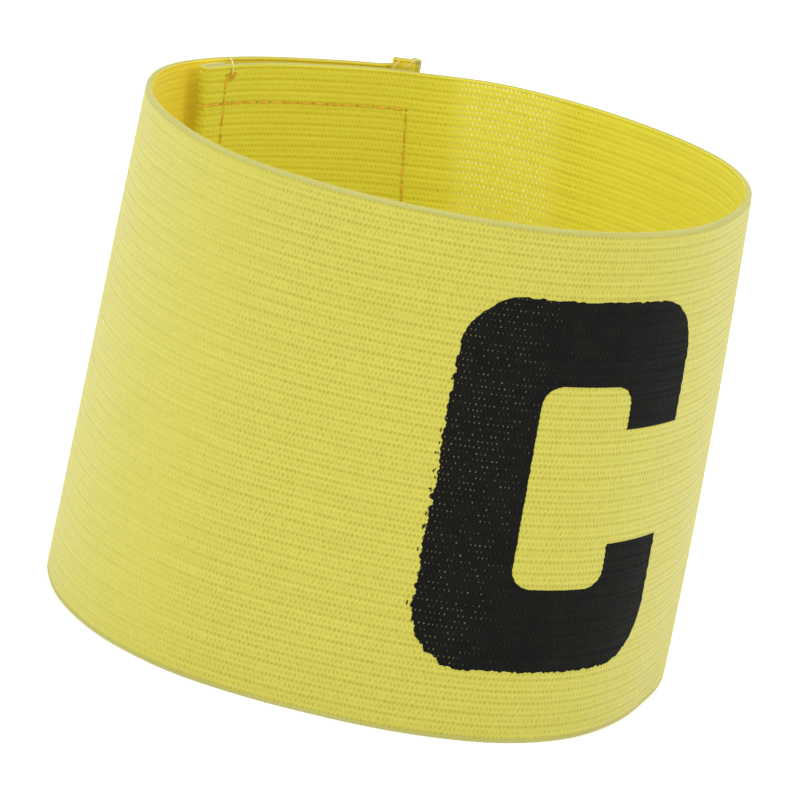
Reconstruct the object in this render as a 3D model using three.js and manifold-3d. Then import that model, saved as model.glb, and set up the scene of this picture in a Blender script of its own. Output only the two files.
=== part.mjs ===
// A captain's armband: one strip of ribbed elastic webbing, closed to a loop where its two hemmed
// ends overlap at the back. A hook patch and a loop patch hold the overlap. A letter C, the plain sign
// for a captain, is printed on the front. The band stands on one long edge, so the webbing's width is
// the height of the loop, and it is a little wider at the bottom than at the top.
// Sizes are in millimetres. Angles are in degrees, anticlockwise from +X as seen from above. The front
// is at 270, on the -Y side.

import * as THREE from 'three';
import Module from 'manifold-3d';
import { mergeVertices, toCreasedNormals } from 'three/addons/utils/BufferGeometryUtils.js';

// The webbing. A round cord, the selvedge, is woven along both of its long edges.
const webbingWidth = 80;
const webbingThickness = 1.1;
const selvedgeWidth = 0.75;

// The closed loop, measured over the outside.
const topDiameter = 96.4;
const bottomDiameter = 101;

// The soft loop isn't quite round. Each row is a place where it is drawn out or pressed in the most,
// with its radius at three heights as shares of the round loop's radius there.
const loopShape = [
  { angle: 25, top: 1.012, middle: 1.014, bottom: 0.998 },
  { angle: 52, top: 1.003, middle: 1.001, bottom: 0.999 },
  { angle: 80, top: 1.012, middle: 1.008, bottom: 1.003 },
  { angle: 120, top: 0.978, middle: 0.983, bottom: 0.987 },
  { angle: 162, top: 1.02, middle: 1.019, bottom: 1.018 },
  { angle: 202, top: 0.986, middle: 0.993, bottom: 1.001 },
  { angle: 233, top: 1.005, middle: 1.003, bottom: 0.999 },
  { angle: 258, top: 0.992, middle: 0.989, bottom: 0.986 },
  { angle: 300, top: 1.022, middle: 1.029, bottom: 1.036 },
  { angle: 345, top: 0.973, middle: 0.978, bottom: 0.955 },
];

// The closure. The outer end lies over the inner one, and both ends are hemmed: the inner hem is
// folded outwards and the outer one inwards, so both raw edges lie between the layers. The overlap
// is measured halfway up.
const outerEndAngle = 100;
const overlapLength = 39.5;
const innerHemDepth = 6;
const outerHemDepth = 4;
const hemGap = 0.15;
const clearance = 0.3;
const loopPatchThickness = 0.95;
const loopPatchLength = 39;
const hookPatchThickness = 0.95;
const hookPatchLength = 28;
const patchMargin = 5.5;

// The outer end springs away from the round over the last stretch, and its hem sits a little high.
const springLength = 22;
const springHeight = 1.2;
const hemRise = 1.2;

// From under the outer end, the strip steps out to the full size of the loop over this length.
const stepLength = 18;

// The printed letter, measured along the webbing.
const letterWidth = 43;
const letterHeight = 58;
const letterBase = 11.3;
const letterAngle = 302.8;
const letterStem = 14;
const letterBar = 13.2;
const letterTip = 13;
const letterOpening = 18;
const letterCorner = 9.5;
const letterInnerCorner = 3;
const letterThickness = 0.3;

// How far the letter's plate reaches past the letter before it is cut to shape.
const cuttingSpare = 4;

// The largest angle of one facet round the loop, and the facets of a fold and of a letter's corner.
const facetAngle = 3.5;
const foldFacets = 6;
const cornerFacets = 6;

// Rows of the webbing's section near each edge: how far in they lie, as a share of the selvedge's
// width, and how thick the webbing is there, as a share of its thickness. The last but one is the
// shallow groove between the selvedge and the first rib.
const edgeRows = [
  { depth: 0, fullness: 0.5 },
  { depth: 0.25, fullness: 0.9 },
  { depth: 0.6, fullness: 1 },
  { depth: 1.05, fullness: 0.7 },
  { depth: 1.5, fullness: 1 },
];
const middleRows = [ 0.25, 0.5, 0.75 ];

const FULL_TURN = Math.PI * 2;
const meanRadius = ( topDiameter + bottomDiameter ) / 4;
const overlapAngle = overlapLength / meanRadius;
const stripAngle = FULL_TURN + overlapAngle;
const innerEndAngle = THREE.MathUtils.degToRad( outerEndAngle ) + overlapAngle;
const innerHemAngle = innerHemDepth / meanRadius;
const outerHemAngle = outerHemDepth / meanRadius;

// The strip's two long edges are equally long, so round the narrower top the inner end reaches
// further than round the bottom, and it stands at a slant.
const endSlant = Math.PI * ( bottomDiameter - topDiameter );
const slantAngle = endSlant / meanRadius;

// A hem's two plies, and the radius of their fold at the middle of the cloth.
const foldRadius = ( webbingThickness + hemGap ) / 2;
const hemThickness = webbingThickness + hemGap;

// The space between the layers holds whichever is thickest: both patches, or a hem and one patch.
const patchRoom = loopPatchThickness + hookPatchThickness + 3 * clearance;
const innerHemRoom = hemThickness + hookPatchThickness + 2 * clearance;
const outerHemRoom = hemThickness + loopPatchThickness + 2 * clearance;
const layerPitch = webbingThickness + Math.max( patchRoom, innerHemRoom, outerHemRoom );

const wasm = await Module();
wasm.setup();

// The radius of the loop's outer face at an angle in radians and at a share of its height.
function loopRadius( angle, height ) {
  const degrees = THREE.MathUtils.euclideanModulo( THREE.MathUtils.radToDeg( angle ), 360 );
  const found = loopShape.findIndex( ( row ) => row.angle > degrees );
  const next = loopShape[ Math.max( found, 0 ) ];
  const last = loopShape.at( found < 0 ? - 1 : found - 1 );
  const span = THREE.MathUtils.euclideanModulo( next.angle - last.angle, 360 );
  const gone = THREE.MathUtils.euclideanModulo( degrees - last.angle, 360 );
  const share = THREE.MathUtils.smoothstep( gone / span, 0, 1 );
  const top = THREE.MathUtils.lerp( last.top, next.top, share ) * topDiameter / 2;
  const middle = THREE.MathUtils.lerp( last.middle, next.middle, share ) * meanRadius;
  const bottom = THREE.MathUtils.lerp( last.bottom, next.bottom, share ) * bottomDiameter / 2;
  const bottomPart = bottom * ( 1 - height ) * ( 1 - 2 * height );
  const middlePart = middle * 4 * height * ( 1 - height );
  const topPart = top * height * ( 2 * height - 1 );
  return bottomPart + middlePart + topPart;
}

// How far the outer end has sprung out, at an angle travelled along the strip from its inner end.
function springOut( travelled ) {
  const start = stripAngle - springLength / meanRadius;
  return springHeight * THREE.MathUtils.smoothstep( travelled, start, stripAngle );
}

// How far the strip's outer face lies inside the loop's outer face. The inner layer keeps one
// distance to the outer layer that lies a full turn further on.
function layerInset( travelled ) {
  const stepEnd = overlapAngle + stepLength / meanRadius;
  const steppedIn = 1 - THREE.MathUtils.smoothstep( travelled, overlapAngle, stepEnd );
  return steppedIn * ( layerPitch - springOut( travelled + FULL_TURN ) ) - springOut( travelled );
}

// How far the webbing is raised along the strip: only the outer hem is.
function stripRise( travelled ) {
  return hemRise * THREE.MathUtils.smoothstep( travelled, stripAngle - outerHemAngle, stripAngle );
}

// The angle of a place along the strip at a share of its height. The slant of the inner end fades
// out over the first half turn.
function angleOnLoop( travelled, height ) {
  const slanted = 1 - THREE.MathUtils.smoothstep( travelled, 0, FULL_TURN / 2 );
  return innerEndAngle - travelled + slanted * slantAngle * ( height - 0.5 );
}

// One station of a sweep. A section point lies at an inset from the strip's outer face, moved by
// reach and by its own offset along a direction that is turned from the outward one.
function station( travelled, inset, extra = {} ) {
  const plain = { turned: 0, reach: 0, side: 1, rise: stripRise( travelled ) };
  return { travelled, inset, ...plain, ...extra };
}

function sweptPoint( place, offset, height ) {
  const angle = angleOnLoop( place.travelled, height );
  const radius = loopRadius( angle, height ) - layerInset( innerEndAngle - angle ) - place.inset;
  const reach = place.reach + place.side * offset;
  const direction = angle + place.turned;
  return new THREE.Vector3(
    radius * Math.cos( angle ) + reach * Math.cos( direction ),
    radius * Math.sin( angle ) + reach * Math.sin( direction ),
    height * webbingWidth + place.rise
  );
}

// Values from first to last in even steps no longer than the given one.
function evenSteps( first, last, longest ) {
  const count = Math.max( 1, Math.ceil( Math.abs( last - first ) / longest ) );
  return Array.from( { length: count + 1 }, ( _, index ) => first + ( last - first ) * index / count );
}

// A closed body from a list of stations and the rows of its section. Each row has a height and half
// a thickness, so the section's ring goes up one face and down the other.
function sweep( stations, rows ) {
  const ring = [
    ...rows.map( ( row ) => ( { offset: row.half, height: row.height } ) ),
    ...rows.toReversed().map( ( row ) => ( { offset: - row.half, height: row.height } ) ),
  ];
  const points = stations.flatMap( ( place ) => ring.map(
    ( point ) => sweptPoint( place, point.offset, point.height )
  ) );
  const size = ring.length;
  const index = [];
  for ( let i = 0; i + 1 < stations.length; i ++ ) {
    for ( let j = 0; j < size; j ++ ) {
      const here = i * size + j;
      const above = i * size + ( j + 1 ) % size;
      index.push( here, above, here + size );
      index.push( above, above + size, here + size );
    }
  }
  const lastRing = ( stations.length - 1 ) * size;
  for ( let j = 0; j + 1 < rows.length; j ++ ) {
    const mirror = size - 1 - j;
    index.push( j, mirror, j + 1 );
    index.push( j + 1, mirror, mirror - 1 );
    index.push( lastRing + j, lastRing + j + 1, lastRing + mirror );
    index.push( lastRing + j + 1, lastRing + mirror - 1, lastRing + mirror );
  }
  const geometry = new THREE.BufferGeometry().setFromPoints( points );
  geometry.setIndex( index );
  return geometry;
}

function webbingRows() {
  const lower = edgeRows.map( ( row ) => ( {
    height: row.depth * selvedgeWidth / webbingWidth,
    half: row.fullness * webbingThickness / 2,
  } ) );
  const middle = middleRows.map( ( height ) => ( { height, half: webbingThickness / 2 } ) );
  const upper = lower.toReversed().map( ( row ) => ( { height: 1 - row.height, half: row.half } ) );
  return [ ...lower, ...middle, ...upper ];
}

// The whole strip, from the raw edge of the inner hem round its fold, once round the loop and past
// its own inner end, and round the outer fold to the raw edge of the outer hem.
function webbingBand() {
  const facet = THREE.MathUtils.degToRad( facetAngle );
  const centre = webbingThickness / 2;
  const foldTurns = evenSteps( 0, Math.PI, Math.PI / foldFacets ).slice( 1, - 1 );
  const innerHem = evenSteps( innerHemAngle, 0, facet ).map(
    ( travelled ) => station( travelled, centre - 2 * foldRadius, { side: - 1 } )
  );
  const innerFold = foldTurns.map(
    ( turned ) => station( 0, centre - foldRadius, { turned, reach: foldRadius, side: - 1 } )
  );
  const plainStrip = evenSteps( 0, stripAngle, facet ).map(
    ( travelled ) => station( travelled, centre )
  );
  const outerFold = foldTurns.map(
    ( turned ) => station( stripAngle, centre + foldRadius, { turned: - turned, reach: foldRadius } )
  );
  const foldedOver = { turned: Math.PI, rise: hemRise };
  const outerHem = evenSteps( stripAngle, stripAngle - outerHemAngle, facet ).map(
    ( travelled ) => station( travelled, centre + 2 * foldRadius, foldedOver )
  );
  return sweep( [ ...innerHem, ...innerFold, ...plainStrip, ...outerFold, ...outerHem ], webbingRows() );
}

// A plate that follows the webbing between two places along the strip, at an inset from its outer
// face, from one height to another.
function followingPlate( from, to, inset, thickness, low, high ) {
  const facet = THREE.MathUtils.degToRad( facetAngle );
  const stations = evenSteps( from, to, facet ).map(
    ( travelled ) => station( travelled, inset, { rise: 0 } )
  );
  const heights = [ low, ...middleRows.filter( ( height ) => height > low && height < high ), high ];
  return sweep( stations, heights.map( ( height ) => ( { height, half: thickness / 2 } ) ) );
}

// The loop patch is sewn to the outer side of the inner end, from its hem onwards.
function loopPatch() {
  const from = ( innerHemDepth + clearance ) / meanRadius;
  const to = from + loopPatchLength / meanRadius;
  const inset = - clearance - loopPatchThickness / 2;
  const margin = patchMargin / webbingWidth;
  return followingPlate( from, to, inset, loopPatchThickness, margin, 1 - margin );
}

// The hook patch is sewn to the inner side of the outer end, from its hem backwards.
function hookPatch() {
  const to = stripAngle - ( outerHemDepth + clearance ) / meanRadius;
  const from = to - hookPatchLength / meanRadius;
  const inset = webbingThickness + clearance + hookPatchThickness / 2;
  const margin = patchMargin / webbingWidth;
  return followingPlate( from, to, inset, hookPatchThickness, margin, 1 - margin );
}

// The letter's outline on the flat webbing, with its middle at x 0 and its foot at y 0.
function letterOutline() {
  const left = - letterWidth / 2;
  const right = letterWidth / 2;
  const stemEdge = left + letterStem;
  const tipEdge = right - letterTip;
  const lowTip = ( letterHeight - letterOpening ) / 2;
  const highTip = ( letterHeight + letterOpening ) / 2;
  const innerTop = letterHeight - letterBar;
  const outer = letterCorner;
  const inner = letterInnerCorner;
  const quarter = Math.PI / 2;
  const outline = new THREE.Shape();
  outline.absarc( right - outer, outer, outer, - quarter, 0, false );
  outline.lineTo( right, lowTip );
  outline.lineTo( tipEdge, lowTip );
  outline.absarc( tipEdge - inner, letterBar + inner, inner, 0, - quarter, true );
  outline.absarc( stemEdge + inner, letterBar + inner, inner, - quarter, - Math.PI, true );
  outline.absarc( stemEdge + inner, innerTop - inner, inner, Math.PI, quarter, true );
  outline.absarc( tipEdge - inner, innerTop - inner, inner, quarter, 0, true );
  outline.lineTo( tipEdge, highTip );
  outline.lineTo( right, highTip );
  outline.absarc( right - outer, letterHeight - outer, outer, 0, quarter, false );
  outline.absarc( left + outer, letterHeight - outer, outer, quarter, Math.PI, false );
  outline.absarc( left + outer, outer, outer, Math.PI, 1.5 * Math.PI, false );
  return outline;
}

function toManifold( geometry ) {
  const bare = geometry.clone();
  bare.deleteAttribute( 'normal' );
  bare.deleteAttribute( 'uv' );
  const merged = mergeVertices( bare );
  return new wasm.Manifold( new wasm.Mesh( {
    numProp: 3,
    vertProperties: new Float32Array( merged.attributes.position.array ),
    triVerts: new Uint32Array( merged.index.array ),
  } ) );
}

function fromManifold( solid ) {
  const mesh = solid.getMesh();
  const geometry = new THREE.BufferGeometry();
  geometry.setAttribute( 'position', new THREE.BufferAttribute( mesh.vertProperties, 3 ) );
  geometry.setIndex( new THREE.BufferAttribute( mesh.triVerts, 1 ) );
  return geometry;
}

// The print is a thin plate along the webbing's outer face, cut to the letter. The letter's flat
// outline is laid on the loop and seen square on from its middle, where the cutter comes from.
function printedLetter() {
  const middle = THREE.MathUtils.degToRad( letterAngle );
  const along = new THREE.Vector3( - Math.sin( middle ), Math.cos( middle ), 0 );
  const outward = new THREE.Vector3( Math.cos( middle ), Math.sin( middle ), 0 );
  const upward = new THREE.Vector3( 0, 0, 1 );
  const centre = innerEndAngle + FULL_TURN - middle;
  const seen = letterOutline().getPoints( cornerFacets ).map( ( point ) => {
    const travelled = centre - point.x / meanRadius;
    const height = ( letterBase + point.y ) / webbingWidth;
    const onLoop = sweptPoint( station( travelled, 0 ), 0, height );
    return new THREE.Vector2( onLoop.dot( along ), onLoop.z );
  } );
  const reach = { depth: 2 * meanRadius, bevelEnabled: false };
  const cutter = new THREE.ExtrudeGeometry( new THREE.Shape( seen ), reach );
  cutter.applyMatrix4( new THREE.Matrix4().makeBasis( along, upward, outward ) );
  const wide = ( letterWidth / 2 + cuttingSpare ) / meanRadius;
  const low = ( letterBase - cuttingSpare ) / webbingWidth;
  const high = ( letterBase + letterHeight + cuttingSpare ) / webbingWidth;
  const inset = - clearance - letterThickness / 2;
  const plate = followingPlate( centre - wide, centre + wide, inset, letterThickness, low, high );
  return fromManifold( toManifold( plate ).intersect( toManifold( cutter ) ) );
}

const yellowWebbing = new THREE.MeshStandardMaterial( { color: 0xdad46c, roughness: 0.85, metalness: 0 } );
const yellowHook = new THREE.MeshStandardMaterial( { color: 0xd6c85a, roughness: 0.7, metalness: 0 } );
const yellowLoop = new THREE.MeshStandardMaterial( { color: 0xcdb948, roughness: 0.95, metalness: 0 } );
const blackInk = new THREE.MeshStandardMaterial( { color: 0x1f1f20, roughness: 0.8, metalness: 0 } );

function piece( name, geometry, material ) {
  const mesh = new THREE.Mesh( toCreasedNormals( geometry, Math.PI / 5 ), material );
  mesh.name = name;
  return mesh;
}

const armband = new THREE.Group();
armband.add( piece( 'webbing_band', webbingBand(), yellowWebbing ) );
armband.add( piece( 'loop_patch', loopPatch(), yellowLoop ) );
armband.add( piece( 'hook_patch', hookPatch(), yellowHook ) );
armband.add( piece( 'captain_letter', printedLetter(), blackInk ) );

// The origin is on the ground, under the middle of the armband's bounding box.
const middleOfBox = new THREE.Box3().setFromObject( armband ).getCenter( new THREE.Vector3() );
armband.position.set( - middleOfBox.x, - middleOfBox.y, 0 );

export default armband;
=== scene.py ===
import math
import random
from collections import namedtuple

import bmesh
import bpy
from mathutils import Matrix, Vector


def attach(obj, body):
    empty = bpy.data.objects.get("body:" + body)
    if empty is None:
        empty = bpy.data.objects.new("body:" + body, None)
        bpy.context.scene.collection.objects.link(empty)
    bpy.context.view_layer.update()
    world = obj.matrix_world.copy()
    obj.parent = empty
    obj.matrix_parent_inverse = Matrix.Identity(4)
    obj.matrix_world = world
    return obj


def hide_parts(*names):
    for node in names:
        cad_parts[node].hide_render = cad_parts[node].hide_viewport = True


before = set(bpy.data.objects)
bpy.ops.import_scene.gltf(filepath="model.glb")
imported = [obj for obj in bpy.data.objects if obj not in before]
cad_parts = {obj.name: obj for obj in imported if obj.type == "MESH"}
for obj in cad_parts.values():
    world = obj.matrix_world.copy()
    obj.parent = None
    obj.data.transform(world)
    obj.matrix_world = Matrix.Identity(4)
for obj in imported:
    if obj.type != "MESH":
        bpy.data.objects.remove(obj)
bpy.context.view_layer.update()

# The webbing: one strip of woven elastic, 80 mm wide. Rubber threads inside draw the yellow polyester
# yarn together into ribs along the strip, and a round selvedge cord is woven along both long edges.
# It is closed to a loop that stands on one edge, and both its ends are folded over and hemmed.
mm = 0.001
webbing_width = 80 * mm
webbing_thickness = 1.1 * mm
selvedge_width = 0.75 * mm
rib_count = 42
rib_width = (webbing_width - 2 * selvedge_width) / rib_count
top_diameter = 96.4 * mm
bottom_diameter = 101 * mm
mean_radius = (top_diameter + bottom_diameter) / 4
loop_middle = Vector((0.933 * mm, -0.099 * mm, 0))

# Where the soft loop is drawn out or pressed in the most: an angle, then the radius at the top, halfway
# up and at the bottom as shares of the round loop's.
loop_shape = [
    (25, 1.012, 1.014, 0.998),
    (52, 1.003, 1.001, 0.999),
    (80, 1.012, 1.008, 1.003),
    (120, 0.978, 0.983, 0.987),
    (162, 1.02, 1.019, 1.018),
    (202, 0.986, 0.993, 1.001),
    (233, 1.005, 1.003, 0.999),
    (258, 0.992, 0.989, 0.986),
    (300, 1.022, 1.029, 1.036),
    (345, 0.973, 0.978, 0.955),
]

overlap_angle = 39.5 * mm / mean_radius
strip_angle = 2 * math.pi + overlap_angle
strip_length = strip_angle * mean_radius
inner_end_angle = math.radians(100) + overlap_angle
inner_hem_angle = 6 * mm / mean_radius
outer_hem_angle = 4 * mm / mean_radius
hem_rise = 1.5 * mm
slant_angle = math.pi * (bottom_diameter - top_diameter) / mean_radius
fold_gap = 0.15 * mm
fold_radius = (webbing_thickness + fold_gap) / 2
fold_length = math.pi * fold_radius

# The inner end lies a layer further in and steps out past the overlap. The outer end springs outwards.
layer_pitch = 3.9 * mm
step_angle = 18 * mm / mean_radius
spring_height = 1.2 * mm
spring_angle = 22 * mm / mean_radius


def eased(value, low, high):
    share = min(max((value - low) / (high - low), 0), 1)
    return share * share * (3 - 2 * share)


def loop_radius(angle, height):
    degrees = math.degrees(angle) % 360
    later = [row for row in loop_shape if row[0] > degrees]
    after = later[0] if later else loop_shape[0]
    before = loop_shape[loop_shape.index(after) - 1]
    share = eased((degrees - before[0]) % 360 / ((after[0] - before[0]) % 360), 0, 1)
    top, middle, bottom = (b + (a - b) * share for a, b in zip(after[1:], before[1:]))
    return (
        bottom * bottom_diameter / 2 * (1 - height) * (1 - 2 * height)
        + middle * mean_radius * 4 * height * (1 - height)
        + top * top_diameter / 2 * height * (2 * height - 1)
    )


# Small uneven places in the hand-closed loop, the same in both layers.
def ripple(angle, height):
    low = math.sin(5 * angle + 0.7) * math.cos(2.2 * height + 0.4)
    fine = math.sin(11 * angle + 2.1) * math.cos(4.6 * height + 1.3)
    finest = math.sin(19 * angle + 4.4) * math.cos(7.4 * height + 0.2)
    return (0.11 * low + 0.07 * fine + 0.04 * finest) * mm


def spring_out(travelled):
    return spring_height * eased(travelled, strip_angle - spring_angle, strip_angle)


def layer_inset(travelled):
    stepped_in = 1 - eased(travelled, overlap_angle, overlap_angle + step_angle)
    return stepped_in * (layer_pitch - spring_out(travelled + 2 * math.pi)) - spring_out(travelled)


# A point of the strip: the angle travelled from its inner end, a height in metres, and how far it lies
# outside the strip's outer face. A fold adds a reach in a direction that is turned from outwards. The
# outer end rises a little towards its hem, unless another lift is given.
def strip_point(travelled, z, outside, turned=0.0, reach=0.0, lift=None):
    height = z / webbing_width
    slanted = 1 - eased(travelled, 0, math.pi)
    angle = inner_end_angle - travelled + slanted * slant_angle * (height - 0.5)
    radius = loop_radius(angle, height) + ripple(angle, height)
    radius += outside - layer_inset(inner_end_angle - angle)
    rise = hem_rise * eased(travelled, strip_angle - outer_hem_angle, strip_angle)
    return loop_middle + Vector((
        radius * math.cos(angle) + reach * math.cos(angle + turned),
        radius * math.sin(angle) + reach * math.sin(angle + turned),
        z + (rise if lift is None else lift),
    ))


# The section of the webbing, from its lower edge up the outer face: a height and the half thickness
# there. Each rib holds two rows of yarn, so it has a deep groove beside it and a shallow one in it. The
# cord's points are turned round its middle by degrees, and the ribs' depths are in millimetres.
cord_turns = [-62, -34, -8, 14, 36]
cord_half_thickness = 0.5 * mm
cord = [
    (
        selvedge_width / 2 * (1 + math.sin(math.radians(turn))),
        cord_half_thickness * math.cos(math.radians(turn)),
    )
    for turn in cord_turns
]
rib_depths = [0.105, 0.035, 0.003, 0.045, 0.003, 0.035]
row_step = rib_width / len(rib_depths)
rib_rows = [
    (selvedge_width + step * row_step, webbing_thickness / 2 - rib_depths[step % len(rib_depths)] * mm)
    for step in range(len(rib_depths) * rib_count + 1)
]
lower_half = [(0.0, 0.0)] + cord
section = lower_half + rib_rows + [(webbing_width - z, half) for z, half in reversed(lower_half)]
last_row = len(section) - 1
ring = section + [(z, -half) for z, half in section[-2:0:-1]]

# The stations that the section is carried through: the angle travelled, where the middle of the cloth
# lies outside the strip's outer face, the fold's turn and reach, which way round the section is, the
# height it is lifted by, and the way along the cloth for the weave.
Station = namedtuple("Station", "travelled outside turned reach side lift way")
station_step = 2.8 * mm / mean_radius
fold_step = math.pi / 8
cloth_middle = -webbing_thickness / 2


def even_steps(first, last, longest):
    count = max(1, math.ceil(abs(last - first) / longest))
    return [first + (last - first) * i / count for i in range(count + 1)]


stations = []
for travelled in even_steps(inner_hem_angle, 0, station_step):
    way = -fold_length - travelled * mean_radius
    stations.append(Station(travelled, cloth_middle + 2 * fold_radius, 0, 0, -1, None, way))
for turned in even_steps(0, math.pi, fold_step)[1:-1]:
    way = -fold_length + turned * fold_radius
    stations.append(Station(0, cloth_middle + fold_radius, turned, fold_radius, -1, None, way))
for travelled in even_steps(0, strip_angle, station_step):
    stations.append(Station(travelled, cloth_middle, 0, 0, 1, None, travelled * mean_radius))
for turned in even_steps(0, math.pi, fold_step)[1:-1]:
    way = strip_length + turned * fold_radius
    folded = cloth_middle - fold_radius
    stations.append(Station(strip_angle, folded, -turned, fold_radius, 1, None, way))
for travelled in even_steps(strip_angle, strip_angle - outer_hem_angle, station_step):
    way = strip_length + fold_length + (strip_angle - travelled) * mean_radius
    folded = cloth_middle - 2 * fold_radius
    stations.append(Station(travelled, folded, math.pi, 0, 1, hem_rise, way))


def carried(station, z, half):
    reach = station.reach + station.side * half
    return strip_point(station.travelled, z, station.outside, station.turned, reach, station.lift)


webbing = bmesh.new()
weave_uv = webbing.loops.layers.uv.new("weave_mm")
rings = [[webbing.verts.new(carried(station, z, half)) for z, half in ring] for station in stations]
ways = [station.way / mm for station in stations]
heights = [z / mm for z, half in ring]
OUTSIDE, INSIDE, SELVEDGE = 0, 1, 2

# The cord's own finish covers its whole height outside, and its rim alone inside, where the rest of it
# takes the inside's finish. The outer end's hem, where it stands up, takes the inside's finish too,
# whose yarn is painted lighter for the light that falls through the cloth.
cord_rim = 0.2 * mm
cord_seen = {OUTSIDE: selvedge_width / mm, INSIDE: cord_rim / mm}

# Room for rounding where lengths or numbers of steps are compared.
rounding = 1e-6


def lay_weave(face, corners, finish):
    face.material_index = finish
    face.smooth = True
    for loop, corner in zip(face.loops, corners):
        loop[weave_uv].uv = corner


for i in range(len(stations) - 1):
    standing_up = None not in (stations[i].lift, stations[i + 1].lift)
    for j in range(len(ring)):
        k = (j + 1) % len(ring)
        side = OUTSIDE if j < last_row and not standing_up else INSIDE
        low, high = sorted((heights[j], heights[k]))
        from_edge = min(high, webbing_width / mm - low)
        finish = SELVEDGE if from_edge <= cord_seen[side] + rounding else side
        face = webbing.faces.new((rings[i][j], rings[i + 1][j], rings[i + 1][k], rings[i][k]))
        lay_weave(face, [
            (ways[i], heights[j]), (ways[i + 1], heights[j]),
            (ways[i + 1], heights[k]), (ways[i], heights[k]),
        ], finish)
# The ends' faces take the inside's finish, with its painted light.
for end in (0, -1):
    for j in range(last_row):
        around = [j, j + 1, len(ring) - j - 1, (len(ring) - j) % len(ring)]
        corners = list(dict.fromkeys(around))
        face = webbing.faces.new([rings[end][c] for c in corners])
        lay_weave(face, [(ways[end], heights[c]) for c in corners], INSIDE)


def finished_piece(name, form):
    mesh = bpy.data.meshes.new(name)
    form.to_mesh(mesh)
    form.free()
    piece = bpy.data.objects.new(name, mesh)
    bpy.context.scene.collection.objects.link(piece)
    return piece


bmesh.ops.recalc_face_normals(webbing, faces=webbing.faces[:])
webbing_band = finished_piece("elastic_webbing_band", webbing)


def number(tree, operation, first, second=None, third=None):
    node = tree.nodes.new("ShaderNodeMath")
    node.operation = operation
    for socket, value in zip(node.inputs, (first, second, third)):
        if isinstance(value, bpy.types.NodeSocket):
            tree.links.new(value, socket)
        elif value is not None:
            socket.default_value = value
    return node.outputs[0]


def ranged(tree, value, low, high, to_low=0.0, to_high=1.0):
    node = tree.nodes.new("ShaderNodeMapRange")
    node.interpolation_type = "SMOOTHSTEP"
    tree.links.new(value, node.inputs["Value"])
    for name, limit in (("From Min", low), ("From Max", high), ("To Min", to_low), ("To Max", to_high)):
        if isinstance(limit, bpy.types.NodeSocket):
            tree.links.new(limit, node.inputs[name])
        else:
            node.inputs[name].default_value = limit
    return node.outputs[0]


def stretched_noise(tree, vector, along, up, detail=2.0):
    mapping = tree.nodes.new("ShaderNodeMapping")
    mapping.inputs["Scale"].default_value = (along, up, 1)
    noise = tree.nodes.new("ShaderNodeTexNoise")
    noise.noise_dimensions = "2D"
    noise.inputs["Scale"].default_value = 1
    noise.inputs["Detail"].default_value = detail
    tree.links.new(vector, mapping.inputs["Vector"])
    tree.links.new(mapping.outputs[0], noise.inputs["Vector"])
    return noise.outputs["Fac"]


def blended(tree, share, first, second, blend="MIX"):
    node = tree.nodes.new("ShaderNodeMix")
    node.data_type = "RGBA"
    node.blend_type = blend
    colours = [s for s in node.inputs if s.type == "RGBA"]
    for socket, value in zip((node.inputs[0], *colours), (share, first, second)):
        if isinstance(value, bpy.types.NodeSocket):
            tree.links.new(value, socket)
        else:
            socket.default_value = value
    return next(s for s in node.outputs if s.type == "RGBA")


def add_bumps(tree, height, strength, distance):
    bumps = tree.nodes.new("ShaderNodeBump")
    bumps.inputs["Strength"].default_value = strength
    bumps.inputs["Distance"].default_value = distance
    tree.links.new(height, bumps.inputs["Height"])
    tree.links.new(bumps.outputs[0], tree.nodes["Principled BSDF"].inputs["Normal"])


# The weave as a pattern on millimetres along and up the strip. The yarn leaves a small pit between two
# stitches in every groove, and the pits of neighbouring grooves are staggered. Each row of yarn takes
# the light a little differently along its way.
ribbed_weave = bpy.data.node_groups.new("ribbed_weave", "ShaderNodeTree")
for name, kind, value in (
    ("Along and Up", "NodeSocketVector", None),
    ("Stitch Length", "NodeSocketFloat", 0.7),
    ("Pit Length", "NodeSocketFloat", 0.15),
    ("Pit Height", "NodeSocketFloat", 0.31),
    ("Unevenness", "NodeSocketFloat", 0.45),
):
    socket = ribbed_weave.interface.new_socket(name, in_out="INPUT", socket_type=kind)
    if value is not None:
        socket.default_value = value
for name in ("Pits", "Chance", "Grooves", "Streaks", "Relief"):
    ribbed_weave.interface.new_socket(name, in_out="OUTPUT", socket_type="NodeSocketFloat")
given = ribbed_weave.nodes.new("NodeGroupInput").outputs
made = ribbed_weave.nodes.new("NodeGroupOutput").inputs

# Where a point lies in its row of pits, one to each groove, and in its stitch, each from -0.5 to 0.5.
# Every second row starts half a stitch later, rows wander along by up to half a stitch, and a stitch
# slants a little across its row.
half_rib = rib_width / 2 / mm
wander_reach = 2.5
stitch_slant = 0.12
split = ribbed_weave.nodes.new("ShaderNodeSeparateXYZ")
ribbed_weave.links.new(given["Along and Up"], split.inputs[0])
wander = stretched_noise(ribbed_weave, given["Along and Up"], along=0.45, up=0.6)
wander = number(ribbed_weave, "SUBTRACT", wander, 0.5)
wander = number(ribbed_weave, "MULTIPLY", wander, given["Unevenness"])
row = number(ribbed_weave, "SUBTRACT", split.outputs["Y"], selvedge_width / mm)
row = number(ribbed_weave, "MULTIPLY_ADD", row, 1 / half_rib, 0.5)
row_number = number(ribbed_weave, "FLOOR", row)
row_part = number(ribbed_weave, "SUBTRACT", number(ribbed_weave, "FRACT", row), 0.5)
odd_row = number(ribbed_weave, "FLOORED_MODULO", row_number, 2)
stitch = number(ribbed_weave, "DIVIDE", split.outputs["X"], given["Stitch Length"])
stitch = number(ribbed_weave, "MULTIPLY_ADD", odd_row, 0.5, stitch)
stitch = number(ribbed_weave, "ADD", stitch, number(ribbed_weave, "MULTIPLY", wander, wander_reach))
stitch = number(ribbed_weave, "MULTIPLY_ADD", row_part, stitch_slant, stitch)
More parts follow.
